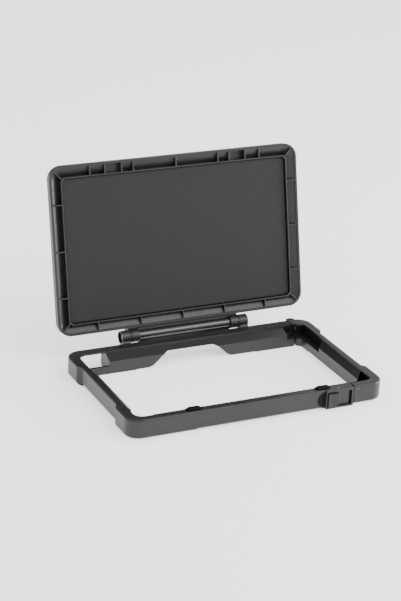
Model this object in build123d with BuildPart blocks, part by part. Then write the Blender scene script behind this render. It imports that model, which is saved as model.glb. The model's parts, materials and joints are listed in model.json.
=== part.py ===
from build123d import *
from math import cos, radians, sin
import os

os.makedirs("parts", exist_ok=True)

# driving dimensions (mm)
# Frame: a flat ring that lies on the table, front rail at -Y, hinge rail at +Y.
frame_width = 203.0        # between the plain side faces
frame_depth = 129.6        # between the plain front and back faces
frame_height = 15.1
rail_clearance = 0.5       # plain rails stand this far off the table, only the corners touch
corner_radius = 11.0       # outer corners, frame and lid
side_bumper = 2.7          # corner bumpers stand this far proud of the side faces
bumper_length = 31.5       # along each side, at the face
bumper_ramp = 4.7
foot_length = 50.4         # along the front and back rails
top_round = 1.5            # top outer edge
bottom_round = 2.4         # bottom outer edge

# Rail section, measured inwards from the plain faces.
lip_side = 4.8             # flat top of the side rails
lip_front = 6.0
lip_back = 9.2
lip_drop = 1.8             # short straight face under the lip
lip_skin = 1.4             # thickness of the lip where a corner pocket runs under it
ledge_side = 10.4          # full width of the side rails at the ledge
ledge_front = 16.4
ledge_back = 18.2
ledge_height = 10.0        # the slope from the lip ends on this ridge
lip_corner = 7.0
ledge_corner = 5.0
wall = 2.4                 # outer wall
inner_wall = 2.0
ceiling = 1.8              # roof of the hollow underside
rib_thickness = 1.2
rib_pitch = 20.0
rib_end_room = 12.0        # last rib at least this far inside the plain faces
latch_block = 36.0         # solid lengths of rail at the latch and at the gate hinge
hinge_block = 18.0
corner_run_x = 22.4        # corner pockets, from the side faces
corner_run_window = 28.0   # the same at the corner with the cable window
corner_run_latch = 14.4    # the same at the latch corner, which holds the keeper
corner_run_front = 28.6    # from the front face
corner_run_back = 36.4     # from the back face
gate_run_front = 30.5      # the same two on the gate, at its side face
gate_run_back = 37.5
gate_slant = 1.1           # there the ends of the slope run at a slant, mm per mm inwards
strip_height = 6.4         # low wall left across each corner pocket
window_clear_top = 3.3     # corner window, below the frame top
notch_centre = -5.0
notch_width = 66.0         # at the bottom of the hinge rail
notch_shoulder = 11.0      # horizontal run of each S-shaped end
notch_height = 11.0
notch_top_round = 10.0
notch_foot = 7.0           # width of each foot of the notch outline
notch_foot_round = 10.0
window_width = 17.5

# Gate: the right rail with both right corners, swinging on an upright pin.
gate_gap = 1.4             # at the latch
gate_front_in = 24.1       # free end of the gate, from its side face
gate_back_in = 13.9        # hinge end of the gate
hinge_gap = 1.7
gate_pin_in = 0.8          # pin axis, from the back face
knuckle_end_gap = 0.9      # knuckles to the fixed hinge rail
gate_pin_radius = 1.6
gate_knuckle = 3.8
knuckle_gap = 0.2
knuckle_side_gap = 0.3     # round the fixed knuckle, inside the gate
knuckle_arm_root = 4.0     # length of the knuckle arm buried in the rail
knuckle_low = 5.2
knuckle_high = 10.2
bush_wall = 0.7
pin_recess = 0.4
pin_chamfer = 0.3
pin_clearance = 0.05       # radial, every turning fit

# Lid hinge
hinge_back = 8.0           # axis behind the frame's back face
shut_gap = 0.4             # frame top to the rim of the shut lid
open_angle = 102.24        # from shut to rest
collar_wall = 0.95         # outside the bearing sleeves
collar_length = 7.0
barrel_half = 54.3
knuckle_length = 7.5
end_play = 0.4
rod_radius = 3.35
rod_recess = 1.4           # rod end inside the collar
cup_depth = 3.0
cup_wall = 0.9
clip_thickness = 0.8
clip_mouth = 4.0
clip_groove = 0.65
clip_side_gap = 0.05
sleeve_wall = 0.75
ear_plate = 1.6
ear_plate_corner = 1.0
ear_plate_width = 17.0
ear_foot_low = 2.6
ear_foot_high = 9.4
ear_arm_radius = 3.4       # arm under the collar
ear_screw_x = 6.0          # either side of the collar
ear_screw_z = 6.8
ear_screw_length = 7.0

# Lid, measured in its own plane: x along the hinge, v away from the axis, n towards the pad.
lid_over_side = 0.8        # past the corner bumpers when shut
lid_over_back = 1.4        # past the back face when shut
lid_over_front = 0.6       # past the front face when shut
rim_height = 1.2           # rim plane above the axis plane, shut face
lid_thickness = 8.6
lid_back_round = 4.0
rim_width = 1.9
channel_lip = 1.0          # channel depth at the rim
channel_depth = 4.3        # channel depth at the inner wall
tray_depth = 6.8           # floor inside the inner wall, below the rim
lid_margin = 9.1           # outline to inner wall, sides and far edge
lid_margin_near = 8.1      # the same at the hinge edge
lid_wall = 1.0
wall_corner = 2.6          # chamfered corners of the inner wall
channel_corner = 2.0
lid_rib = 1.0
lid_rib_pitch = 36.0       # along the two short sides
lid_rib_end_room = 25.0
lid_rib_inside = 16.6      # ribs on the long sides, from the middle of a catch pocket
lid_rib_outside = 19.4
rib_overlap = 0.3          # ribs run this far into rim and floor
mitre_inset = 7.2          # middle of each corner mitre, from the outline
mitre_length = 8.8
catch_from_latch = 0.4     # middle of a snap catch, from the housing's side
pocket_width = 12.9
pocket_depth = 5.0
core_thickness = 3.9
pad_thickness = 0.9
core_clearance = 0.4
bracket_plate = 2.0
bracket_reach = 16.0       # back plate, from the near edge
web_gap = 0.25             # web to the rod
shroud_gap = 0.4           # half-round shroud behind the rod
shroud_wall = 2.1
knuckle_groove_in = 0.9    # shallow groove round each knuckle, from its outer end
knuckle_groove_width = 0.5
knuckle_groove_depth = 0.4
shelf_drop = 1.0           # shelf below the axis plane
bracket_screw_v = 18.4     # from the axis
bracket_screw_pitch = 26.0
bracket_screw_length = 6.0

# Snap catches on the front rail
flange_length = 14.2       # thin pointed flange under each catch
flange_depth = 5.4
flange_height = 0.3
catch_length = 11.0
catch_depth = 4.4
catch_height = 1.5         # above the rail, flange included
catch_groove = 0.8
catch_groove_length = 7.0
catch_break = 0.4
catch_peg = 1.2            # peg radius
catch_peg_length = 5.0
catch_peg_in = 3.0         # peg towards the middle of the rail
catch_in = 1.5             # how far the catch overhangs the lip

# Latch
latch_length = 23.0        # housing, along the front rail
latch_proud = 1.8
housing_back = 0.66        # housing wall behind the detent spring
latch_frame = 1.1          # bezel around the button, left side
latch_bar = 1.5            # bezel, right side
window_low = 1.7
window_high = 13.2
window_depth = 3.2
button_gap = 0.3
button_plate = 1.8
thumb_length = 9.3
thumb_proud = 1.8
thumb_ridges = 3
ridge_pitch = 2.1
ridge_radius = 0.45
slide_travel = 1.4
bolt_height = 5.6
bolt_depth = 3.0
bolt_clearance = 0.12
bolt_wall = 1.0            # housing between window and bolt channel
bolt_reach = 1.1           # tip past the housing at rest
thumb_step = 0.5           # broken front corner of the thumb block
thumb_ramp = 2.2
button_break = 0.3
bolt_lead = 0.5
bolt_screw_length = 4.6
detent_in = 15.0           # from the housing's left side
detent_radius = 0.8
notch_lift = 0.55          # notch cylinders stand this far behind the bolt
spring_half = 5.0
spring_gap = 0.12          # crest to bolt
pin_side_gap = 0.12
pin_slot_depth = 1.0
stop_pin_radius = 0.6
stop_pin_in = 11.2         # from the housing's left side
stop_pin_low = 11.2
stop_pin_bite = 0.2        # part of the pin let into the window floor
stem_in = 5.0              # stem between button and bolt, from the housing's left side
stem_length = 6.0
stem_height = 4.0
bolt_in = 4.0              # end of the bolt, from the housing's left side
spring_height = 4.4
spring_room = 0.9          # behind the bolt, for the detent spring
keeper_width = 5.6
keeper_skin = 0.9          # in front of and behind the bolt's hole
keeper_end = 2.6           # height beyond its two screws together
keeper_screw_x = 3.6       # from the gate's free end
keeper_screw_step = 1.2    # each screw axis, beyond the bolt
housing_screw_pitch = 13.0
housing_screw_z = 2.6
keeper_pocket = 3.6
keeper_clearance = 0.3
keeper_chamfer = 0.25
keeper_screw_length = 5.6
housing_round = 0.8
housing_screw_grip = 3.4
scoop_radius = 10.7        # round finger scoop beside the housing
scoop_depth = 2.2
spring_thickness = 0.3

# Screws
screw_shank = 1.0
screw_tip = 0.3            # hole deeper than the screw
screw_head = 1.8
screw_head_height = 1.1
head_round = 0.4           # share of the head height
recess_length = 1.1        # cross recess, shares of the head radius
recess_width = 0.3
recess_depth = 0.55        # share of the head height
small_shank = 0.8
small_head = 1.3
small_head_height = 0.8
thread_clearance = 0.05
counterbore_clearance = 0.1
cut_over = 1.0             # cuts run this far past an open face

# worked out from the above
half_width = frame_width / 2
half_depth = frame_depth / 2
overall_width = frame_width + 2 * side_bumper
hinge_y = half_depth + hinge_back
hinge_height = frame_height + shut_gap + rim_height
collar_radius = rod_radius + pin_clearance + sleeve_wall + collar_wall
shroud_inner = rod_radius + shroud_gap
shroud_outer = shroud_inner + shroud_wall
bracket_web_inner = rod_radius + web_gap
lid_width = overall_width + 2 * lid_over_side
lid_length = frame_depth + lid_over_back + lid_over_front
lid_edge = hinge_back - lid_over_back
rib_count_x = 2 * int((half_width - rib_end_room) / rib_pitch) + 1
rib_count_y = 2 * int((half_depth - rib_end_room) / rib_pitch) + 1
lid_rib_count = 2 * int((lid_length / 2 - lid_rib_end_room) / lid_rib_pitch) + 1
gate_front_x = half_width - gate_front_in
gate_back_x = half_width - gate_back_in
main_back_x = gate_back_x - hinge_gap
gate_pin_x = main_back_x + knuckle_end_gap + gate_knuckle
gate_pin_y = half_depth - gate_pin_in
lid_angle = radians(180 - open_angle)
lid_plane = Plane(
    origin=(0, hinge_y, hinge_height),
    x_dir=(1, 0, 0),
    z_dir=(0, -sin(lid_angle), cos(lid_angle)),
)
lid_far = lid_edge + lid_length
lid_middle = lid_edge + lid_length / 2
rim_n = rim_height
floor_n = rim_height - channel_depth
tray_n = rim_height - tray_depth
tray_width = lid_width - 2 * lid_margin
tray_length = lid_length - lid_margin - lid_margin_near
tray_middle = lid_edge + lid_margin_near + tray_length / 2
back_n = rim_height - lid_thickness
latch_right = gate_front_x - gate_gap
latch_left = latch_right - latch_length
latch_front = -half_depth - latch_proud
housing_depth = window_depth + bolt_wall + bolt_depth + 2 * bolt_clearance + spring_room + housing_back
latch_depth = housing_depth - latch_proud
housing_screw_head = small_head_height + counterbore_clearance
housing_screw_length = ledge_front - latch_depth - housing_screw_head + housing_screw_grip - screw_tip
stem_x = latch_left + stem_in
bolt_x = latch_left + bolt_in
detent_x = latch_left + detent_in
stop_pin_x = latch_left + stop_pin_in
catch_centre = latch_left - catch_from_latch
keeper_depth = bolt_depth + 2 * keeper_clearance + 2 * keeper_skin
keeper_screw_pitch = bolt_height + 2 * keeper_screw_step
keeper_height = keeper_screw_pitch + keeper_end
latch_rear = -half_depth + latch_depth
lip_y = (lip_front - lip_back) / 2
ledge_y = (ledge_front - ledge_back) / 2
lip_size = (frame_width - 2 * lip_side, frame_depth - lip_front - lip_back)
ledge_size = (frame_width - 2 * ledge_side, frame_depth - ledge_front - ledge_back)
ear_x = barrel_half - collar_length / 2
knuckle_outer = barrel_half - collar_length - end_play
knuckle_x = knuckle_outer - knuckle_length / 2
gate_knuckle_spans = (
    (rail_clearance, knuckle_low - knuckle_gap),
    (knuckle_high + knuckle_gap, frame_height),
)
bush_radius = gate_pin_radius + pin_clearance + bush_wall
slide_z = (window_low + window_high) / 2
window_floor_y = latch_front + window_depth
bolt_front_y = window_floor_y + bolt_wall
bolt_y = bolt_front_y + bolt_clearance + bolt_depth / 2
keeper_y = bolt_y
stop_pin_y = window_floor_y - stop_pin_radius + stop_pin_bite
button_left = latch_left + latch_frame + button_gap
button_right = latch_right - latch_bar - slide_travel - pin_side_gap
button_rear = window_floor_y - pin_side_gap
plate_front = button_rear - button_plate
thumb_front = latch_front - thumb_proud
bolt_front = bolt_front_y + bolt_clearance
bolt_screw_plane = Plane(
    origin=(stem_x + stem_length / 2, bolt_y + bolt_depth / 2, slide_z), x_dir=(1, 0, 0), z_dir=(0, 1, 0)
)
clip_x = barrel_half - cup_depth + clip_thickness / 2 + clip_side_gap
bracket_screw_planes = [
    Plane(
        origin=lid_plane.from_local_coords((step * bracket_screw_pitch, bracket_screw_v, back_n)),
        x_dir=(1, 0, 0),
        z_dir=-lid_plane.z_dir,
    )
    for step in (-1.5, -0.5, 0.5, 1.5)
]
keeper_low = slide_z - keeper_height / 2
catch_y = -half_depth + lip_front + catch_in - flange_depth / 2
housing_middle = (latch_left + latch_right) / 2
housing_screw_planes = [
    Plane(
        origin=(housing_middle + step * housing_screw_pitch / 2, ledge_front - half_depth, housing_screw_z),
        x_dir=(1, 0, 0),
        z_dir=(0, 1, 0),
    )
    for step in (-1, 1)
]
keeper_screw_planes = [
    Plane(
        origin=(gate_front_x + keeper_screw_x, -half_depth, slide_z + step * keeper_screw_pitch / 2),
        x_dir=(1, 0, 0),
        z_dir=(0, -1, 0),
    )
    for step in (-1, 1)
]


def rounded_slab(width, depth, low, high):
    """A slab with rounded corners, top and bottom outer edges rounded over."""
    with BuildPart() as slab:
        with BuildSketch(Plane.XY.offset(low)):
            RectangleRounded(width, depth, corner_radius)
        extrude(amount=high - low)
        fillet(slab.edges().group_by(Axis.Z)[-1], top_round)
        fillet(slab.edges().group_by(Axis.Z)[0], bottom_round)
    return slab.part


def screw(place, head_radius, head_height, shank_radius, length):
    """A pan-head screw: head on the plane's +z side, shank into its -z side."""
    with BuildPart() as one:
        with BuildSketch(place):
            Circle(head_radius)
        extrude(amount=head_height)
        fillet(one.edges().filter_by(GeomType.CIRCLE).sort_by(place_axis(place))[-1], head_height * head_round)
        with BuildSketch(place):
            Circle(shank_radius)
        extrude(amount=-length)
        with BuildSketch(place.offset(head_height)):
            Rectangle(head_radius * recess_length, head_radius * recess_width)
            Rectangle(head_radius * recess_width, head_radius * recess_length)
        extrude(amount=-head_height * recess_depth, mode=Mode.SUBTRACT)
    return one.part


def place_axis(place):
    """The line through a plane's origin along its normal."""
    return Axis(place.origin, place.z_dir)


def finish(piece, name):
    """Label a finished sub-part and write it."""
    piece.label = name
    export_step(piece, f"parts/{name}.step")


# the whole ring, before it is split
corner_bounds = (
    (-1, 1, corner_run_window, corner_run_back, 0),
    (1, 1, corner_run_x, gate_run_back, gate_slant),
    (-1, -1, corner_run_x, corner_run_front, 0),
    (1, -1, corner_run_latch, gate_run_front, -gate_slant),
)


def corner_area(side, end, run_x, run_y, slant, grow):
    """Plan outline of one corner pocket, in from the side and end faces, grown on its inner sides."""
    inner_x = side * (half_width - run_x - grow)
    return [
        (side * half_width, end * half_depth),
        (side * half_width, end * (half_depth - run_y - grow)),
        (inner_x, end * (half_depth - run_y - grow - slant * (run_x + grow))),
        (inner_x, end * half_depth),
    ]


with BuildPart() as bumper_ring:
    add(rounded_slab(overall_width, frame_depth, 0, frame_height))
    with BuildSketch():
        Rectangle(frame_width - 2 * foot_length, frame_depth)
        bumper_start = half_depth - bumper_length
        reach = half_width + 2 * side_bumper
        reach_start = bumper_start + 2 * bumper_ramp
        for side in (-1, 1):
            with BuildLine():
                Polyline(
                    (0, -bumper_start),
                    (side * half_width, -bumper_start),
                    (side * reach, -reach_start),
                    (side * reach, reach_start),
                    (side * half_width, bumper_start),
                    (0, bumper_start),
                    close=True,
                )
            make_face()
    extrude(amount=frame_height, mode=Mode.SUBTRACT)

with BuildPart() as frame_ring:
    add(rounded_slab(frame_width, frame_depth, rail_clearance, frame_height))
    add(bumper_ring.part)
    # lip opening, then the slope, then the straight wall below the ledge
    with BuildSketch(Plane.XY.offset(frame_height - lip_drop)):
        with Locations((0, lip_y)):
            RectangleRounded(*lip_size, lip_corner)
    extrude(amount=lip_drop, mode=Mode.SUBTRACT)
    with BuildSketch(Plane.XY.offset(ledge_height)):
        with Locations((0, ledge_y)):
            RectangleRounded(*ledge_size, ledge_corner)
    with BuildSketch(Plane.XY.offset(frame_height - lip_drop)):
        with Locations((0, lip_y)):
            RectangleRounded(*lip_size, lip_corner)
    loft(mode=Mode.SUBTRACT)
    with BuildSketch():
        with Locations((0, ledge_y)):
            RectangleRounded(*ledge_size, ledge_corner)
    extrude(amount=ledge_height, mode=Mode.SUBTRACT)
    # corner pockets: the slope stops short and only a low strip is left
    with BuildSketch(Plane.XY.offset(strip_height)):
        RectangleRounded(frame_width - 2 * wall, frame_depth - 2 * wall, corner_radius - wall)
        with BuildSketch(mode=Mode.INTERSECT):
            for bounds in corner_bounds:
                Polygon(*corner_area(*bounds, 0), align=None)
    extrude(amount=frame_height - lip_skin - strip_height, mode=Mode.SUBTRACT)
    # hollow underside with cross ribs, solid where something is fastened
    for depth, straight in ((strip_height - ceiling, False), (ledge_height - ceiling, True)):
        with BuildSketch():
            RectangleRounded(frame_width - 2 * wall, frame_depth - 2 * wall, corner_radius - wall)
            with Locations((0, ledge_y)):
                RectangleRounded(
                    ledge_size[0] + 2 * inner_wall,
                    ledge_size[1] + 2 * inner_wall,
                    ledge_corner + inner_wall,
                    mode=Mode.SUBTRACT,
                )
            with GridLocations(rib_pitch, 0, rib_count_x, 1):
                Rectangle(rib_thickness, frame_depth, mode=Mode.SUBTRACT)
            with GridLocations(0, rib_pitch, 1, rib_count_y):
                Rectangle(frame_width, rib_thickness, mode=Mode.SUBTRACT)
            with Locations((ear_x, half_depth), (-ear_x, half_depth)):
                Rectangle(ear_plate_width, 2 * ledge_back, mode=Mode.SUBTRACT)
            with Locations(((latch_left + gate_front_x) / 2, -half_depth)):
                Rectangle(latch_block, 2 * ledge_front, mode=Mode.SUBTRACT)
            with Locations((gate_pin_x, half_depth)):
                Rectangle(hinge_block, 2 * ledge_back, mode=Mode.SUBTRACT)
            with Locations((corner_run_window - half_width + inner_wall, half_depth)):
                Rectangle(
                    window_width + 2 * inner_wall,
                    2 * ledge_back,
                    align=(Align.MAX, Align.CENTER),
                    mode=Mode.SUBTRACT,
                )
            if straight:
                for bounds in corner_bounds:
                    Polygon(*corner_area(*bounds, ceiling), align=None, mode=Mode.SUBTRACT)
        extrude(amount=depth, mode=Mode.SUBTRACT)

# fixed frame
with BuildPart() as main_frame:
    add(frame_ring.part)
    # the gate's share of the ring is taken away
    with BuildSketch():
        with Locations((latch_right, -half_depth)):
            Rectangle(overall_width, frame_depth, align=(Align.MIN, Align.CENTER))
        with Locations((main_back_x, half_depth)):
            Rectangle(overall_width, frame_depth, align=(Align.MIN, Align.CENTER))
    extrude(amount=frame_height, mode=Mode.SUBTRACT)
    # bay for the latch housing
    with BuildSketch():
        with Locations((latch_left, latch_rear)):
            Rectangle(frame_width, frame_depth, align=(Align.MIN, Align.MAX))
    extrude(amount=frame_height, mode=Mode.SUBTRACT)
    # finger scoop beside the latch
    with Locations((latch_left, -half_depth - scoop_radius + scoop_depth, slide_z)):
        Sphere(scoop_radius, mode=Mode.SUBTRACT)
    # cable notch under the hinge rail
    with BuildSketch(Plane.XZ.offset(-half_depth - cut_over)) as notch:
        with BuildLine():
            Polyline(
                (notch_centre - notch_width / 2 - notch_foot, -cut_over),
                (notch_centre - notch_width / 2 - notch_foot, rail_clearance),
                (notch_centre - notch_width / 2, rail_clearance),
                (notch_centre - notch_width / 2 + notch_shoulder, notch_height),
                (notch_centre + notch_width / 2 - notch_shoulder, notch_height),
                (notch_centre + notch_width / 2, rail_clearance),
                (notch_centre + notch_width / 2 + notch_foot, rail_clearance),
                (notch_centre + notch_width / 2 + notch_foot, -cut_over),
                close=True,
            )
        make_face()
        fillet(notch.vertices().group_by(Axis.Y)[-1], notch_top_round)
        foot_corners = notch.vertices().group_by(Axis.Y)[1].sort_by(Axis.X)
        fillet(foot_corners[1:3], notch_foot_round)
    extrude(amount=ledge_back + 2 * cut_over, mode=Mode.SUBTRACT)
    # corner window for a cable, open through the back wall and the pocket floor
    with BuildSketch():
        with Locations((corner_run_window - half_width, half_depth + cut_over)):
            Rectangle(window_width, ledge_back - inner_wall + cut_over, align=(Align.MAX, Align.MAX))
    extrude(amount=frame_height - window_clear_top, mode=Mode.SUBTRACT)
    # fixed middle knuckle of the gate hinge
    with BuildSketch(Plane.XY.offset(knuckle_low)):
        with Locations((gate_pin_x, gate_pin_y)):
            Circle(gate_knuckle)
            Rectangle(
                gate_pin_x - main_back_x + knuckle_arm_root,
                gate_knuckle + half_depth - gate_pin_y,
                align=(Align.MAX, Align.CENTER),
            )
    extrude(amount=knuckle_high - knuckle_low)
    with Locations((gate_pin_x, gate_pin_y, frame_height)):
        Hole(gate_pin_radius, depth=frame_height)
    # ear screws, from the back
    for side in (-1, 1):
        for step in (-1, 1):
            with Locations(Plane(
                origin=(side * ear_x + step * ear_screw_x, half_depth, ear_screw_z), z_dir=(0, 1, 0)
            )):
                Hole(screw_shank + thread_clearance, depth=ear_screw_length)
    # housing screws, from inside the opening
    for place in housing_screw_planes:
        with Locations(place):
            CounterBoreHole(
                small_shank + thread_clearance,
                small_head + counterbore_clearance,
                small_head_height + counterbore_clearance,
                depth=ledge_front - latch_depth,
            )
    # peg holes for the snap catches
    for side in (-1, 1):
        with Locations((side * (catch_centre - catch_peg_in), catch_y, frame_height)):
            Hole(catch_peg + thread_clearance, depth=catch_peg_length)
finish(main_frame.part, "main_frame")

# gate
with BuildPart() as gate_arm:
    add(frame_ring.part)
    with BuildSketch(Plane.XY) as gate_share:
        with Locations((gate_front_x, 0)):
            Rectangle(frame_width, frame_depth, align=(Align.MIN, Align.MAX))
        with Locations((gate_back_x, 0)):
            Rectangle(frame_width, frame_depth, align=(Align.MIN, Align.MIN))
    extrude(amount=frame_height, mode=Mode.INTERSECT)
    # upper and lower knuckles, proud of the back face
    for low, high in gate_knuckle_spans:
        with BuildSketch(Plane.XY.offset(low)):
            with Locations((gate_pin_x, gate_pin_y)):
                Circle(gate_knuckle)
            with Locations((gate_pin_x, half_depth)):
                Rectangle(
                    gate_knuckle,
                    gate_knuckle + half_depth - gate_pin_y,
                    align=(Align.MIN, Align.MAX),
                )
        extrude(amount=high - low)
    # room for the fixed knuckle and for the end of its arm through the whole swing
    with BuildSketch(Plane.XY.offset(gate_knuckle_spans[0][1])):
        with Locations((gate_pin_x, gate_pin_y)):
            Circle(gate_knuckle + knuckle_side_gap)
    extrude(amount=gate_knuckle_spans[1][0] - gate_knuckle_spans[0][1], mode=Mode.SUBTRACT)
    with Locations((gate_pin_x, gate_pin_y, frame_height)):
        Hole(bush_radius, depth=frame_height)
    # seat for the keeper, and its screws from the front
    with BuildSketch(Plane.XY.offset(keeper_low)):
        with Locations((gate_front_x, keeper_y)):
            Rectangle(keeper_width, keeper_depth, align=(Align.MIN, Align.CENTER))
    extrude(amount=keeper_height, mode=Mode.SUBTRACT)
    for place in keeper_screw_planes:
        with Locations(place):
            CounterBoreHole(
                small_shank + thread_clearance,
                small_head + counterbore_clearance,
                small_head_height,
                depth=keeper_depth + latch_depth,
            )
finish(gate_arm.part, "gate_arm")

with BuildPart() as gate_pin:
    with BuildSketch(Plane.XY.offset(rail_clearance + pin_recess)):
        with Locations((gate_pin_x, gate_pin_y)):
            Circle(gate_pin_radius)
    extrude(amount=frame_height - rail_clearance - 2 * pin_recess)
    chamfer(gate_pin.edges().filter_by(GeomType.CIRCLE), pin_chamfer)
finish(gate_pin.part, "gate_pin")

with BuildPart() as gate_bushes:
    for low, high in gate_knuckle_spans:
        with BuildSketch(Plane.XY.offset(low)):
            with Locations((gate_pin_x, gate_pin_y)):
                Circle(bush_radius)
                Circle(gate_pin_radius + pin_clearance, mode=Mode.SUBTRACT)
        extrude(amount=high - low)
finish(gate_bushes.part, "gate_bushes")

with BuildPart() as keeper:
    with BuildSketch(Plane.XY.offset(keeper_low)):
        with Locations((gate_front_x, keeper_y)):
            Rectangle(keeper_width, keeper_depth, align=(Align.MIN, Align.CENTER))
    extrude(amount=keeper_height)
    with BuildSketch(Plane.YZ.offset(gate_front_x)):
        with Locations((bolt_y, slide_z)):
            Rectangle(bolt_depth + 2 * keeper_clearance, bolt_height + 2 * keeper_clearance)
    extrude(amount=keeper_pocket, mode=Mode.SUBTRACT)
    chamfer(keeper.faces().sort_by(Axis.X)[0].edges(), keeper_chamfer)
    for place in keeper_screw_planes:
        with Locations(place.offset(-small_head_height)):
            Hole(small_shank + thread_clearance, depth=keeper_screw_length)
finish(keeper.part, "gate_keeper")

with BuildPart() as keeper_screws:
    for place in keeper_screw_planes:
        add(screw(place.offset(-small_head_height), small_head, small_head_height,
                  small_shank, keeper_screw_length - screw_tip))
finish(keeper_screws.part, "keeper_screws")

# latch
with BuildPart() as latch_housing:
    with BuildSketch():
        with Locations((latch_left, latch_front)):
            Rectangle(latch_right - latch_left, latch_rear - latch_front, align=(Align.MIN, Align.MIN))
    extrude(amount=frame_height)
    fillet(latch_housing.edges().filter_by(Axis.X).group_by(Axis.Y)[0], housing_round)
    fillet(latch_housing.faces().sort_by(Axis.X)[0].edges().group_by(Axis.Y)[0], housing_round / 2)
    # window for the button
    with BuildSketch(Plane.XZ.offset(-latch_front)):
        with Locations((latch_left + latch_frame, window_low)):
            Rectangle(
                latch_right - latch_left - latch_frame - latch_bar,
                window_high - window_low,
                align=(Align.MIN, Align.MIN),
            )
    extrude(amount=-window_depth, mode=Mode.SUBTRACT)
    # slot for the button's stem
    with BuildSketch(Plane.XZ.offset(-window_floor_y)):
        with Locations((stem_x, slide_z)):
            Rectangle(
                stem_length + slide_travel + 2 * button_gap,
                stem_height + 2 * button_gap,
                align=(Align.MIN, Align.CENTER),
            )
    extrude(amount=-bolt_wall - bolt_clearance, mode=Mode.SUBTRACT)
    # channel for the bolt, open at the gate end
    with BuildSketch(Plane.YZ.offset(bolt_x - bolt_clearance)):
        with Locations((bolt_y, slide_z)):
            Rectangle(bolt_depth + 2 * bolt_clearance, bolt_height + 2 * bolt_clearance)
            with Locations((bolt_depth / 2 + bolt_clearance, 0)):
                Rectangle(spring_room, spring_height, align=(Align.MIN, Align.CENTER))
    extrude(amount=latch_right - bolt_x + bolt_clearance, mode=Mode.SUBTRACT)
    with Locations((stop_pin_x, stop_pin_y, frame_height)):
        Hole(stop_pin_radius, depth=frame_height - stop_pin_low)
    for place in housing_screw_planes:
        with Locations(place.offset(latch_rear - place.origin.Y)):
            Hole(small_shank + thread_clearance, depth=housing_screw_grip)
finish(latch_housing.part, "latch_housing")

with BuildPart() as slide_button:
    # plan outline: proud thumb block, ramp, then a flat plate
    with BuildSketch(Plane.XY.offset(window_low + button_gap)):
        with BuildLine():
            Polyline(
                (button_left, button_rear),
                (button_left, thumb_front + thumb_step),
                (button_left + thumb_step, thumb_front),
                (button_left + thumb_length - thumb_ramp, thumb_front),
                (button_left + thumb_length, plate_front),
                (button_right, plate_front),
                (button_right, button_rear),
                close=True,
            )
        make_face()
        # finger ridges
        with Locations([
            (button_left + thumb_length - thumb_ramp - ridge_pitch * count, thumb_front)
            for count in range(thumb_ridges)
        ]):
            Circle(ridge_radius)
    extrude(amount=window_high - window_low - 2 * button_gap)
    chamfer(slide_button.faces().sort_by(Axis.X)[-1].edges().filter_by(Axis.Z).sort_by(Axis.Y)[0], button_break)
    # stem through to the bolt
    with BuildSketch(Plane.XZ.offset(-button_rear)):
        with Locations((stem_x, slide_z)):
            Rectangle(stem_length, stem_height, align=(Align.MIN, Align.CENTER))
    extrude(amount=button_rear - bolt_front)
    # blind slot behind the plate for the stop pin
    with BuildSketch(Plane.XY.offset(stop_pin_low - pin_side_gap)):
        with Locations((stop_pin_x - slide_travel - stop_pin_radius - pin_side_gap, button_rear)):
            Rectangle(
                slide_travel + 2 * (stop_pin_radius + pin_side_gap),
                pin_slot_depth,
                align=(Align.MIN, Align.MAX),
            )
    extrude(amount=window_high, mode=Mode.SUBTRACT)
    with Locations(bolt_screw_plane):
        Hole(small_shank, depth=bolt_screw_length + bolt_depth)
finish(slide_button.part, "slide_button")

with BuildPart() as latch_bolt:
    with BuildSketch(Plane.YZ.offset(bolt_x)):
        with Locations((bolt_y, slide_z)):
            Rectangle(bolt_depth, bolt_height)
    extrude(amount=latch_right + bolt_reach - bolt_x)
    chamfer(latch_bolt.faces().sort_by(Axis.X)[-1].edges().filter_by(Axis.Z), bolt_lead)
    with Locations(bolt_screw_plane):
        CounterBoreHole(
            small_shank + thread_clearance, small_head + counterbore_clearance, small_head_height, depth=bolt_depth
        )
    # two shallow notches that the detent spring drops into
    with Locations([
        Plane(origin=(detent_x - step * slide_travel, bolt_y + bolt_depth / 2 + notch_lift, slide_z))
        for step in (0, 1)
    ]):
        Cylinder(detent_radius, bolt_height, mode=Mode.SUBTRACT)
finish(latch_bolt.part, "latch_bolt")

with BuildPart() as bolt_screw:
    add(screw(bolt_screw_plane.offset(-small_head_height), small_head, small_head_height,
              small_shank, bolt_screw_length))
finish(bolt_screw.part, "bolt_screw")

with BuildPart() as detent_spring:
    # a bowed leaf: its crest points at the bolt, its ends press on the housing
    spring_base = bolt_y + bolt_depth / 2 + bolt_clearance + spring_room
    with BuildSketch(Plane.XY.offset(slide_z - spring_height / 2 + bolt_clearance)):
        with BuildLine():
            crest = spring_base - spring_room + spring_gap
            ThreePointArc(
                (detent_x - spring_half, spring_base),
                (detent_x, crest),
                (detent_x + spring_half, spring_base),
            )
            Line((detent_x + spring_half, spring_base), (detent_x + spring_half - spring_thickness, spring_base))
            ThreePointArc(
                (detent_x + spring_half - spring_thickness, spring_base),
                (detent_x, crest + spring_thickness),
                (detent_x - spring_half + spring_thickness, spring_base),
            )
            Line((detent_x - spring_half + spring_thickness, spring_base), (detent_x - spring_half, spring_base))
        make_face()
    extrude(amount=spring_height - 2 * bolt_clearance)
finish(detent_spring.part, "detent_spring")

with BuildPart() as stop_pin:
    with BuildSketch(Plane.XY.offset(stop_pin_low)):
        with Locations((stop_pin_x, stop_pin_y)):
            Circle(stop_pin_radius)
    extrude(amount=frame_height - stop_pin_low)
finish(stop_pin.part, "stop_pin")

with BuildPart() as housing_screws:
    for place in housing_screw_planes:
        add(screw(place.offset(-small_head_height - counterbore_clearance), small_head, small_head_height,
                  small_shank, housing_screw_length))
finish(housing_screws.part, "housing_screws")

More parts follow.
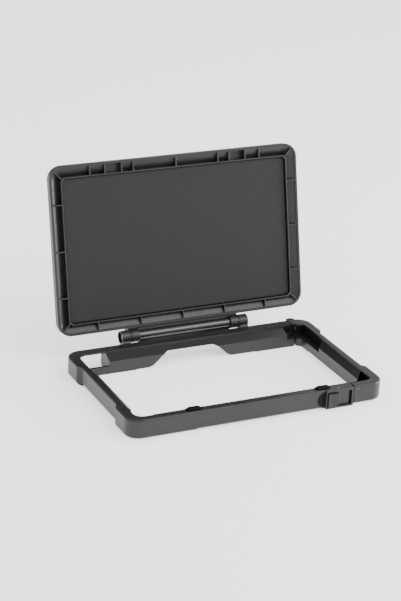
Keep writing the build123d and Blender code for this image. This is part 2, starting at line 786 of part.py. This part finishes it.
# snap catches
with BuildPart() as snap_catches:
    for side in (-1, 1):
        for long, deep, high in (
            (flange_length, flange_depth, flange_height),
            (catch_length, catch_depth, catch_height),
        ):
            # six-sided plan, pointed at both ends
            with BuildSketch(Plane((side * catch_centre, catch_y, frame_height))):
                Polygon(
                    (-long / 2, 0),
                    (deep / 3 - long / 2, deep / 2),
                    (long / 2 - deep / 3, deep / 2),
                    (long / 2, 0),
                    (long / 2 - deep / 3, -deep / 2),
                    (deep / 3 - long / 2, -deep / 2),
                    align=None,
                )
            extrude(amount=high)
    chamfer(snap_catches.faces().group_by(Axis.Z)[-1].edges(), catch_break)
    for side in (-1, 1):
        with BuildSketch(Plane((side * catch_centre, catch_y, frame_height + catch_height))):
            SlotOverall(catch_groove_length, catch_groove)
        extrude(amount=-catch_height / 2, mode=Mode.SUBTRACT)
        with BuildSketch(Plane((side * (catch_centre - catch_peg_in), catch_y, frame_height))):
            Circle(catch_peg)
        extrude(amount=-catch_peg_length + screw_tip)
finish(snap_catches.part, "snap_catches")

# lid hinge, frame side
for side, name in ((-1, "hinge_ear_left"), (1, "hinge_ear_right")):
    with BuildPart() as ear:
        # arm from the back of the rail up to the axis, then the round collar
        with BuildSketch(Plane.YZ.offset(side * ear_x)):
            with Locations((hinge_y, hinge_height)):
                Circle(ear_arm_radius)
            with Locations((half_depth, ear_foot_low)):
                Rectangle(ear_plate, ear_foot_high - ear_foot_low, align=(Align.MIN, Align.MIN))
            make_hull()
        extrude(amount=collar_length / 2, both=True)
        with BuildSketch(Plane.YZ.offset(side * ear_x)):
            with Locations((hinge_y, hinge_height)):
                Circle(collar_radius)
        extrude(amount=collar_length / 2, both=True)
        with BuildSketch(Plane.XZ.offset(-half_depth)):
            with Locations((side * ear_x, (ear_foot_low + ear_foot_high) / 2)):
                RectangleRounded(ear_plate_width, ear_foot_high - ear_foot_low, ear_plate_corner)
        extrude(amount=-ear_plate)
        # rod bore and the open cup at the outer end
        with BuildSketch(Plane.YZ.offset(side * barrel_half)):
            with Locations((hinge_y, hinge_height)):
                Circle(rod_radius + pin_clearance)
        extrude(amount=-side * collar_length, mode=Mode.SUBTRACT)
        with BuildSketch(Plane.YZ.offset(side * barrel_half)):
            with Locations((hinge_y, hinge_height)):
                Circle(collar_radius - cup_wall)
        extrude(amount=-side * cup_depth, mode=Mode.SUBTRACT)
        for step in (-1, 1):
            with Locations(Plane(
                origin=(side * ear_x + step * ear_screw_x, half_depth + ear_plate, ear_screw_z), z_dir=(0, 1, 0)
            )):
                Hole(screw_shank + thread_clearance, depth=ear_plate)
    finish(ear.part, name)

with BuildPart() as ear_screws:
    for side in (-1, 1):
        for step in (-1, 1):
            add(screw(
                Plane(
                    origin=(side * ear_x + step * ear_screw_x, half_depth + ear_plate, ear_screw_z),
                    z_dir=(0, 1, 0),
                ),
                screw_head, screw_head_height, screw_shank, ear_plate + ear_screw_length - screw_tip,
            ))
finish(ear_screws.part, "ear_screws")

with BuildPart() as hinge_rod:
    with BuildSketch(Plane.YZ.offset(-barrel_half + rod_recess)):
        with Locations((hinge_y, hinge_height)):
            Circle(rod_radius)
    extrude(amount=2 * (barrel_half - rod_recess))
    chamfer(hinge_rod.edges().filter_by(GeomType.CIRCLE), pin_chamfer)
    for side in (-1, 1):
        with BuildSketch(Plane.YZ.offset(side * clip_x)):
            with Locations((hinge_y, hinge_height)):
                Circle(rod_radius + cut_over)
                Circle(rod_radius - clip_groove, mode=Mode.SUBTRACT)
        extrude(amount=clip_thickness / 2 + clip_side_gap, both=True, mode=Mode.SUBTRACT)
finish(hinge_rod.part, "hinge_rod")

with BuildPart() as rod_clips:
    for side in (-1, 1):
        with BuildSketch(Plane.YZ.offset(side * clip_x)):
            with Locations((hinge_y, hinge_height)):
                Circle(collar_radius - cup_wall - clip_side_gap * 2)
                Circle(rod_radius - clip_groove, mode=Mode.SUBTRACT)
                Rectangle(
                    clip_mouth, collar_radius, align=(Align.CENTER, Align.MAX), mode=Mode.SUBTRACT
                )
        extrude(amount=clip_thickness / 2, both=True)
finish(rod_clips.part, "rod_clips")

# lid, in its own plane
near_axis = Axis(lid_plane.origin, lid_plane.z_dir)


def inset_outline(inset):
    """The lid's rounded outline, moved inwards."""
    with Locations((0, lid_middle)):
        RectangleRounded(lid_width - 2 * inset, lid_length - 2 * inset, corner_radius - inset)


def inner_outline(inset, mode=Mode.ADD):
    """The chamfered outline of the inner wall, moved inwards for what lies inside it."""
    with BuildSketch(Plane.XY, mode=Mode.PRIVATE) as outline:
        Rectangle(tray_width - 2 * inset, tray_length - 2 * inset)
        chamfer(outline.vertices(), wall_corner)
    with Locations((0, tray_middle)):
        add(outline.sketch, mode=mode)


with BuildPart() as lid_shell:
    with BuildSketch(lid_plane.offset(back_n)):
        inset_outline(0)
    extrude(amount=lid_thickness)
    fillet(lid_shell.edges().group_by(near_axis)[0], lid_back_round)
    # channel: a lip at the rim, then a slope down to the inner wall
    with BuildSketch(lid_plane.offset(rim_n)):
        inset_outline(rim_width)
    extrude(amount=-channel_lip, mode=Mode.SUBTRACT)
    with BuildSketch(lid_plane.offset(rim_n - channel_lip)):
        inset_outline(rim_width)
    with BuildSketch(lid_plane.offset(floor_n)):
        with Locations((0, tray_middle)):
            RectangleRounded(tray_width, tray_length, channel_corner)
    loft(mode=Mode.SUBTRACT)
    # pockets for the snap catches
    with BuildSketch(lid_plane.offset(rim_n)):
        with Locations([(side * catch_centre, lid_far - rim_width) for side in (-1, 1)]):
            Rectangle(pocket_width, lid_margin - rim_width, align=(Align.CENTER, Align.MAX))
    extrude(amount=-pocket_depth, mode=Mode.SUBTRACT)
    # tray for the core and pad, and the inner wall round it
    with BuildSketch(lid_plane.offset(tray_n)):
        inner_outline(lid_wall)
    extrude(amount=tray_depth, mode=Mode.SUBTRACT)
    with BuildSketch(lid_plane.offset(tray_n)):
        inner_outline(0)
        inner_outline(lid_wall, mode=Mode.SUBTRACT)
    extrude(amount=tray_depth)
    # ribs across the channel, pocket walls and the four mitres
    rib_run = lid_margin - rim_width + 2 * rib_overlap
    rib_middle = (lid_margin + rim_width) / 2
    near_rib_run = lid_margin_near - rim_width + 2 * rib_overlap
    near_rib_v = lid_edge + (lid_margin_near + rim_width) / 2
    with BuildSketch(lid_plane.offset(floor_n - rib_overlap)):
        for rib_v, run in ((near_rib_v, near_rib_run), (lid_far - rib_middle, rib_run)):
            with Locations((0, rib_v)):
                Rectangle(lid_rib, run)
                for side in (-1, 1):
                    with Locations(
                        (side * (catch_centre - lid_rib_inside), 0), (side * (catch_centre + lid_rib_outside), 0)
                    ):
                        Rectangle(lid_rib, run)
        for end in (-1, 1):
            with Locations((end * (lid_width / 2 - rib_middle), lid_middle)):
                with GridLocations(0, lid_rib_pitch, 1, lid_rib_count):
                    Rectangle(rib_run, lid_rib)
        for side in (-1, 1):
            with Locations((side * catch_centre, lid_far - rib_middle)):
                with GridLocations(pocket_width + lid_rib, 0, 2, 1):
                    Rectangle(lid_rib, rib_run)
            for end in (-1, 1):
                with Locations((
                    side * (lid_width / 2 - mitre_inset), lid_middle + end * (lid_length / 2 - mitre_inset)
                )):
                    Rectangle(mitre_length, lid_rib, rotation=45 * side * end)
    extrude(amount=channel_depth + rib_overlap)
    for place in bracket_screw_planes:
        with Locations(place):
            Hole(screw_shank + thread_clearance, depth=lid_thickness - tray_depth)
finish(lid_shell.part, "lid_shell")

with BuildPart() as lid_core:
    with BuildSketch(lid_plane.offset(tray_n)):
        inner_outline(lid_wall + core_clearance)
    extrude(amount=core_thickness)
    for place in bracket_screw_planes:
        with Locations(place):
            Hole(screw_shank + thread_clearance, depth=bracket_screw_length)
finish(lid_core.part, "lid_core")

with BuildPart() as lid_pad:
    with BuildSketch(lid_plane.offset(tray_n + core_thickness)):
        inner_outline(lid_wall + core_clearance)
    extrude(amount=pad_thickness)
finish(lid_pad.part, "lid_pad")

with BuildPart() as hinge_bracket:
    # web along the near edge, seen from the front as a narrow shelf above the rod
    with BuildSketch(lid_plane.offset(back_n - bracket_plate)):
        with Locations((0, bracket_web_inner)):
            Rectangle(2 * knuckle_outer, lid_edge - bracket_web_inner, align=(Align.CENTER, Align.MIN))
    extrude(amount=bracket_plate - back_n - shelf_drop)
    # plate on the lid's back
    with BuildSketch(lid_plane.offset(back_n - bracket_plate)):
        with Locations((0, bracket_web_inner)):
            Rectangle(
                2 * knuckle_outer, lid_edge - bracket_web_inner + bracket_reach, align=(Align.CENTER, Align.MIN)
            )
    extrude(amount=bracket_plate)
    # knuckles, with a foot that joins each to the web
    for side in (-1, 1):
        with BuildSketch(Plane.YZ.offset(side * knuckle_x)):
            with Locations((hinge_y, hinge_height)):
                Circle(collar_radius)
        extrude(amount=knuckle_length / 2, both=True)
        with BuildSketch(lid_plane.offset(-collar_radius)):
            with Locations((side * knuckle_x, 0)):
                Rectangle(knuckle_length, bracket_web_inner, align=(Align.CENTER, Align.MIN))
        extrude(amount=collar_radius - shelf_drop)
        with BuildSketch(Plane.YZ.offset(side * knuckle_outer)):
            with Locations((hinge_y, hinge_height)):
                Circle(rod_radius + pin_clearance + sleeve_wall)
        extrude(amount=-side * knuckle_length, mode=Mode.SUBTRACT)
        with BuildSketch(Plane.YZ.offset(side * (knuckle_outer - knuckle_groove_in))):
            with Locations((hinge_y, hinge_height)):
                Circle(collar_radius)
                Circle(collar_radius - knuckle_groove_depth, mode=Mode.SUBTRACT)
        extrude(amount=-side * knuckle_groove_width, mode=Mode.SUBTRACT)
    # half-round shroud behind the rod, from the web round to the underside
    shroud_plane = Plane(
        origin=(knuckle_length - knuckle_outer, hinge_y, hinge_height), x_dir=lid_plane.y_dir, z_dir=(1, 0, 0)
    )
    with BuildSketch(shroud_plane):
        Circle(shroud_outer)
        Circle(shroud_inner, mode=Mode.SUBTRACT)
        Rectangle(2 * shroud_outer, shroud_outer, align=(Align.CENTER, Align.MAX), mode=Mode.INTERSECT)
    extrude(amount=2 * (knuckle_outer - knuckle_length))
    for place in bracket_screw_planes:
        with Locations(place.offset(bracket_plate)):
            Hole(screw_shank + thread_clearance, depth=bracket_plate)
finish(hinge_bracket.part, "hinge_bracket")

with BuildPart() as bracket_screws:
    for place in bracket_screw_planes:
        add(screw(place.offset(bracket_plate), screw_head, screw_head_height,
                  screw_shank, bracket_screw_length - screw_tip))
finish(bracket_screws.part, "bracket_screws")

with BuildPart() as knuckle_sleeves:
    for side in (-1, 1):
        with BuildSketch(Plane.YZ.offset(side * knuckle_x)):
            with Locations((hinge_y, hinge_height)):
                Circle(rod_radius + pin_clearance + sleeve_wall)
                Circle(rod_radius + pin_clearance, mode=Mode.SUBTRACT)
        extrude(amount=knuckle_length / 2, both=True)
finish(knuckle_sleeves.part, "knuckle_sleeves")
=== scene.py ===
import bpy
import json
import math
import numpy as np
from mathutils import Matrix, Vector


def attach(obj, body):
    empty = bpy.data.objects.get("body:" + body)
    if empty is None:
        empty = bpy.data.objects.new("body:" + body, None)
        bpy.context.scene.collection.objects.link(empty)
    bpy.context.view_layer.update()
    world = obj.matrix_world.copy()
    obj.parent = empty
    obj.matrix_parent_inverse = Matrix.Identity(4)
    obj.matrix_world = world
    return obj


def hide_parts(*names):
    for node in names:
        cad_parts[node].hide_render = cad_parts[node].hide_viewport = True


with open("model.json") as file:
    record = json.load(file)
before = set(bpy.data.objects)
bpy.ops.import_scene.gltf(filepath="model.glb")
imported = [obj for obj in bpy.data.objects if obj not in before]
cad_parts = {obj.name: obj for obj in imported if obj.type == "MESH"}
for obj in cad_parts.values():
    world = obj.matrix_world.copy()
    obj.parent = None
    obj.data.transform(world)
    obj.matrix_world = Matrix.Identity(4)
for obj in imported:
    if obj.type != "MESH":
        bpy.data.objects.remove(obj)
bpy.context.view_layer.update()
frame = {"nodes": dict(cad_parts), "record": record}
nodes = frame["nodes"]
mm = 0.001


# node helpers

def newMaterial(name):
    material = bpy.data.materials.new(name)
    material.use_nodes = True
    tree = material.node_tree
    shader = tree.nodes["Principled BSDF"]
    return material, tree, shader


def addNode(tree, kind, **settings):
    node = tree.nodes.new(kind)
    for key, value in settings.items():
        setattr(node, key, value)
    return node


def objectPlace(tree):
    return addNode(tree, "ShaderNodeTexCoord").outputs["Object"]


def noise(tree, vector, size, detail=3.0, roughness=0.55):
    # size is the width of one blotch in metres
    node = addNode(tree, "ShaderNodeTexNoise")
    node.inputs["Scale"].default_value = 1.0 / size
    node.inputs["Detail"].default_value = detail
    node.inputs["Roughness"].default_value = roughness
    tree.links.new(vector, node.inputs["Vector"])
    return node.outputs["Fac"]


def remap(tree, value, low, high, toLow, toHigh):
    node = addNode(tree, "ShaderNodeMapRange")
    node.inputs["From Min"].default_value = low
    node.inputs["From Max"].default_value = high
    node.inputs["To Min"].default_value = toLow
    node.inputs["To Max"].default_value = toHigh
    tree.links.new(value, node.inputs["Value"])
    return node.outputs["Result"]


def blendColour(tree, factor, first, second):
    node = addNode(tree, "ShaderNodeMix", data_type="RGBA")
    node.inputs["A"].default_value = (*first, 1)
    node.inputs["B"].default_value = (*second, 1)
    tree.links.new(factor, node.inputs["Factor"])
    return node.outputs["Result"]


def shade(colour, amount):
    return tuple(min(1.0, c * amount) for c in colour)


def mottle(tree, pattern, colour, shades):
    # the colour wanders with the pattern between two shares of itself
    darker, lighter = shades
    return blendColour(tree, remap(tree, pattern, 0.3, 0.7, 0, 1),
                       shade(colour, darker), shade(colour, lighter))


# moulded plastic

bodyPlastic = {
    "colour": (0.0115, 0.0115, 0.0117),
    "roughness": 0.34,
    "specular": 0.42,
    "grain": 0.35 * mm,        # width of one grain of the eroded texture
    "grainDepth": 0.012 * mm,
    "edge": 0.25 * mm,         # softened edges
}
blackPlastic = {
    "colour": (0.002, 0.002, 0.002),
    "roughness": 0.6,
    "specular": 0.12,
    "grain": 0.25 * mm,
    "grainDepth": 0.008 * mm,
    "edge": 0.18 * mm,
}
bushPlastic = {
    "colour": (0.02, 0.02, 0.02),
    "roughness": 0.28,
    "specular": 0.5,
    "grain": 0.5 * mm,
    "grainDepth": 0.004 * mm,
    "edge": 0.1 * mm,
}
mouldedWear = {
    "cloud": 26 * mm,              # width of one lighter or darker patch
    "cloudShades": (0.88, 1.14),   # shares of the colour in the patches
    "scuff": 3.5 * mm,             # width of one scuffed spot
    "scuffSpread": (-0.04, 0.06),  # roughness gained off and on a scuff
    "grainStrength": 0.35,
}


def plasticMaterial(name, look):
    material, tree, shader = newMaterial(name)
    place = objectPlace(tree)
    cloud = noise(tree, place, mouldedWear["cloud"], 2.0)
    fine = noise(tree, place, look["grain"], 2.0)
    scuff = noise(tree, place, mouldedWear["scuff"], 5.0, 0.7)
    colour = mottle(tree, cloud, look["colour"], mouldedWear["cloudShades"])
    tree.links.new(colour, shader.inputs["Base Color"])
    smoother, rougher = mouldedWear["scuffSpread"]
    rough = remap(tree, scuff, 0.25, 0.75, look["roughness"] + smoother, look["roughness"] + rougher)
    tree.links.new(rough, shader.inputs["Roughness"])
    shader.inputs["Specular IOR Level"].default_value = look["specular"]
    edge = addNode(tree, "ShaderNodeBevel", samples=4)
    edge.inputs["Radius"].default_value = look["edge"]
    bump = addNode(tree, "ShaderNodeBump")
    bump.inputs["Strength"].default_value = mouldedWear["grainStrength"]
    bump.inputs["Distance"].default_value = look["grainDepth"]
    tree.links.new(fine, bump.inputs["Height"])
    tree.links.new(edge.outputs["Normal"], bump.inputs["Normal"])
    tree.links.new(bump.outputs["Normal"], shader.inputs["Normal"])
    return material


# metal

rodFinish = {
    "colour": (0.014, 0.014, 0.015),
    "roughness": 0.16,
    "roughnessSpread": (-0.03, 0.05),
    "coat": 0.6,
    "coatRoughness": 0.08,
    "line": 0.35 * mm,         # width of one drawn line
    "lineStretch": 0.05,       # drawn lines run along the rod
}
darkSteel = {"colour": (0.09, 0.09, 0.095), "roughness": 0.38}
brightSteel = {"colour": (0.52, 0.52, 0.53), "roughness": 0.3}
steelSpots = {
    "size": 0.6 * mm,
    "shades": (0.75, 1.3),
    "roughnessSpread": (-0.06, 0.1),
}


def rodMaterial(name, look):
    material, tree, shader = newMaterial(name)
    place = objectPlace(tree)
    stretch = addNode(tree, "ShaderNodeMapping")
    stretch.inputs["Scale"].default_value = (look["lineStretch"], 1, 1)
    tree.links.new(place, stretch.inputs["Vector"])
    lines = noise(tree, stretch.outputs["Vector"], look["line"], 3.0)
    smoother, rougher = look["roughnessSpread"]
    shader.inputs["Base Color"].default_value = (*look["colour"], 1)
    rough = remap(tree, lines, 0.3, 0.7, look["roughness"] + smoother, look["roughness"] + rougher)
    tree.links.new(rough, shader.inputs["Roughness"])
    shader.inputs["Coat Weight"].default_value = look["coat"]
    shader.inputs["Coat Roughness"].default_value = look["coatRoughness"]
    return material


def steelMaterial(name, look):
    material, tree, shader = newMaterial(name)
    spots = noise(tree, objectPlace(tree), steelSpots["size"], 4.0)
    colour = mottle(tree, spots, look["colour"], steelSpots["shades"])
    tree.links.new(colour, shader.inputs["Base Color"])
    smoother, rougher = steelSpots["roughnessSpread"]
    rough = remap(tree, spots, 0.3, 0.7, look["roughness"] + smoother, look["roughness"] + rougher)
    tree.links.new(rough, shader.inputs["Roughness"])
    shader.inputs["Metallic"].default_value = 1.0
    return material


# textile pad, a soft sheet with a slight crown and a rolled edge

padLook = {
    "colour": (0.0185, 0.0185, 0.0188),
    "roughness": 0.85,
    "weave": 0.55 * mm,        # width of one thread
    "weaveDepth": 0.05 * mm,
    "weaveStrength": 0.5,
    "weaveWander": 0.6,        # how far a thread strays from straight
    "fuzz": 0.7 * mm,          # width of one tuft of loose fibre
    "fuzzShades": (0.8, 1.22),
    "sheen": 0.08,
    "sheenRoughness": 0.5,
    "specular": 0.2,
    "crown": 0.35 * mm,        # middle above the edge
    "roll": 0.8 * mm,          # radius of the rolled edge
    "corner": 2.2 * mm,        # cut corners
    "stepsAcross": 180,
    "stepsAlong": 110,
}


def padMaterial(name, look):
    material, tree, shader = newMaterial(name)
    place = addNode(tree, "ShaderNodeUVMap", uv_map="padPlan").outputs["UV"]
    waves = []
    for direction in ("X", "Y"):
        wave = addNode(tree, "ShaderNodeTexWave", wave_type="BANDS", bands_direction=direction)
        wave.inputs["Scale"].default_value = math.pi / 10 / look["weave"]   # one band is one thread
        wave.inputs["Distortion"].default_value = look["weaveWander"]
        tree.links.new(place, wave.inputs["Vector"])
        waves.append(wave.outputs["Fac"])
    threads = addNode(tree, "ShaderNodeMath", operation="MULTIPLY")
    tree.links.new(waves[0], threads.inputs[0])
    tree.links.new(waves[1], threads.inputs[1])
    fuzz = noise(tree, objectPlace(tree), look["fuzz"], 4.0, 0.7)
    colour = mottle(tree, fuzz, look["colour"], look["fuzzShades"])
    tree.links.new(colour, shader.inputs["Base Color"])
    shader.inputs["Roughness"].default_value = look["roughness"]
    shader.inputs["Specular IOR Level"].default_value = look["specular"]
    shader.inputs["Sheen Weight"].default_value = look["sheen"]
    shader.inputs["Sheen Roughness"].default_value = look["sheenRoughness"]
    bump = addNode(tree, "ShaderNodeBump")
    bump.inputs["Strength"].default_value = look["weaveStrength"]
    bump.inputs["Distance"].default_value = look["weaveDepth"]
    tree.links.new(threads.outputs["Value"], bump.inputs["Height"])
    tree.links.new(bump.outputs["Normal"], shader.inputs["Normal"])
    return material


def lidAxes():
    # the lid's upward direction is the one in which the pad's corners spread most,
    # seen along the hinge; outward is square to it
    pad = nodes["lid_pad"]
    corners = np.array([pad.matrix_world @ v.co for v in pad.data.vertices])
    middle = (corners.min(axis=0) + corners.max(axis=0)) / 2
    centred = corners - middle
    vectors = np.linalg.eigh(centred[:, 1:].T @ centred[:, 1:])[1]
    up = np.array([0.0, *vectors[:, 1]])
    up *= np.sign(up[2])
    out = np.cross([1.0, 0.0, 0.0], up)
    return middle, centred, up, out


def makePad(look):
    middle, centred, up, out = lidAxes()
    halfWide = np.abs(centred[:, 0]).max()
    halfHigh = np.abs(centred @ up).max()
    thick = 2 * np.abs(centred @ out).max()
    # u and v run -1..1 and crowd towards the edges, so the roll is smooth
    u = np.sin(np.linspace(-1, 1, look["stepsAcross"]) * math.pi / 2)
    v = np.sin(np.linspace(-1, 1, look["stepsAlong"]) * math.pi / 2)
    uu, vv = np.meshgrid(u, v, indexing="ij")
    wide = uu * halfWide
    high = vv * halfHigh
    # cut corners: points beyond the corner line are pulled back onto it
    past = np.abs(wide) + np.abs(high) - (halfWide + halfHigh - look["corner"])
    pull = np.maximum(past, 0) / 2
    wide = wide - np.sign(wide) * pull
    high = high - np.sign(high) * pull
    toEdge = np.minimum(halfWide - np.abs(wide), halfHigh - np.abs(high))
    cut = (halfWide + halfHigh - look["corner"] - np.abs(wide) - np.abs(high)) / math.sqrt(2)
    toEdge = np.clip(np.minimum(toEdge, cut), 0, look["roll"])
    # quarter-round fall at the edge, and a crown that is a product of two cosines
    fall = look["roll"] - np.sqrt(look["roll"] ** 2 - (look["roll"] - toEdge) ** 2)
    crown = look["crown"] * np.cos(uu * math.pi / 2) * np.cos(vv * math.pi / 2)
    height = thick / 2 - fall + crown
    across = np.array([1.0, 0, 0])
    top = middle + wide[..., None] * across + high[..., None] * up + height[..., None] * out
    base = top - (height + thick / 2)[..., None] * out
    rows, columns = uu.shape
    index = np.arange(rows * columns).reshape(rows, columns)
    faces = np.stack([index[:-1, :-1], index[1:, :-1], index[1:, 1:], index[:-1, 1:]], -1).reshape(-1, 4)
    under = faces[:, ::-1] + rows * columns
    ring = np.concatenate([index[:-1, 0], index[-1, :-1], index[:0:-1, -1], index[0, :0:-1]])
    ahead = np.roll(ring, -1)
    sides = np.stack([ahead, ring, ring + rows * columns, ahead + rows * columns], -1)
    points = np.concatenate([top.reshape(-1, 3), base.reshape(-1, 3)])
    mesh = bpy.data.meshes.new("padCloth")
    mesh.from_pydata(points.tolist(), [], np.concatenate([faces, under, sides]).tolist())
    mesh.update()
    mesh.shade_smooth()
    plan = np.stack([wide, high], -1).reshape(-1, 2)
    plan = np.concatenate([plan, plan])
    loops = np.empty(len(mesh.loops), dtype=np.int32)
    mesh.loops.foreach_get("vertex_index", loops)
    layer = mesh.uv_layers.new(name="padPlan")
    layer.data.foreach_set("uv", plan[loops].astype(np.float32).ravel())
    pad = bpy.data.objects.new("padCloth", mesh)
    bpy.context.collection.objects.link(pad)
    mesh.materials.append(padMaterial("padWeave", look))
    return pad


# dressing the machined and moulded pieces

finishes = {
    "moulded_body": plasticMaterial("mouldedBody", bodyPlastic),
    "black_plastic": plasticMaterial("blackPlastic", blackPlastic),
    "bush_plastic": plasticMaterial("bushPlastic", bushPlastic),
    "core_board": plasticMaterial("coreBoard", blackPlastic),
    "pad_fabric": plasticMaterial("padFabric", bodyPlastic),
    "rod_metal": rodMaterial("rodMetal", rodFinish),
    "dark_steel": steelMaterial("darkSteel", darkSteel),
    "spring_steel": steelMaterial("springSteel", brightSteel),
}
for part in frame["record"]["subparts"]:
    piece = nodes[part["node"]]
    piece.data.materials.clear()
    piece.data.materials.append(finishes[part["material_slot"]])
print("finishes on", len(nodes), "pieces")

padCloth = makePad(padLook)
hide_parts("lid_pad")
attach(padCloth, "lid")
print("pad ready")


# floor, lights, camera

studio = {
    "floorColour": (0.97, 0.97, 0.97),
    "floorSize": 12.0,
    "skyFacing": (0.3, -0.7, 1.0),   # direction the sky is brightest in
    "skyEdge": 0.6,                  # how far either side of level it goes on changing
    "skyRange": (0.35, 1.5),         # strength away from it and towards it
    "floorRoughness": 0.8,
    "floorGlow": 1.0,
    "lightTarget": (0, 0, 0.05),
    "lights": {                      # place, size, watts
        "keyBox": ((0.6, -0.87, 1.07), (0.7, 0.7), 8),
        "rightBox": ((1.3, -0.35, 0.3), (0.9, 0.5), 22),
    },
    "camera": (-0.577, -1.1396, 0.590),
    "heading": -25.97,         # degrees about the vertical
    "tilt": 67.77,             # degrees up from straight down
    "roll": 2.65,
    "lens": 110.8,             # on a 36 mm sensor, long side
}


def makeFloor(look):
    half = look["floorSize"] / 2
    mesh = bpy.data.meshes.new("floor")
    corners = [(-half, -half, 0), (half, -half, 0), (half, half, 0), (-half, half, 0)]
    mesh.from_pydata(corners, [], [(0, 1, 2, 3)])
    floor = bpy.data.objects.new("floor", mesh)
    bpy.context.collection.objects.link(floor)
    material, tree, shader = newMaterial("floorPaint")
    shader.inputs["Base Color"].default_value = (*look["floorColour"], 1)
    shader.inputs["Roughness"].default_value = look["floorRoughness"]
    shader.inputs["Emission Color"].default_value = (1, 1, 1, 1)
    shader.inputs["Emission Strength"].default_value = look["floorGlow"]
    mesh.materials.append(material)


def areaLight(name, place, target, size, power):
    data = bpy.data.lights.new(name, "AREA")
    data.shape = "RECTANGLE"
    data.size, data.size_y = size
    data.energy = power
    light = bpy.data.objects.new(name, data)
    bpy.context.collection.objects.link(light)
    light.location = place
    light.rotation_euler = (Vector(target) - Vector(place)).to_track_quat("-Z", "Y").to_euler()


def makeStudio(look):
    makeFloor(look)
    world = bpy.data.worlds.new("studio")
    world.use_nodes = True
    # white above and in front, falling off towards the low back
    tree = world.node_tree
    tree.nodes["Background"].inputs["Color"].default_value = (1, 1, 1, 1)
    direction = addNode(tree, "ShaderNodeTexCoord").outputs["Generated"]
    facing = addNode(tree, "ShaderNodeVectorMath", operation="DOT_PRODUCT")
    facing.inputs[1].default_value = look["skyFacing"]
    tree.links.new(direction, facing.inputs[0])
    strength = remap(tree, facing.outputs["Value"], -look["skyEdge"], look["skyEdge"], *look["skyRange"])
    tree.links.new(strength, tree.nodes["Background"].inputs["Strength"])
    bpy.context.scene.world = world
    for name, (place, size, power) in look["lights"].items():
        areaLight(name, place, look["lightTarget"], size, power)
    data = bpy.data.cameras.new("camera")
    data.lens = look["lens"]
    data.sensor_width = 36
    data.clip_end = 50
    camera = bpy.data.objects.new("camera", data)
    bpy.context.collection.objects.link(camera)
    turn = (Matrix.Rotation(math.radians(look["heading"]), 4, "Z")
            @ Matrix.Rotation(math.radians(look["tilt"]), 4, "X")
            @ Matrix.Rotation(math.radians(look["roll"]), 4, "Z"))
    camera.matrix_world = Matrix.Translation(look["camera"]) @ turn
    bpy.context.scene.camera = camera


makeStudio(studio)
print("studio ready")
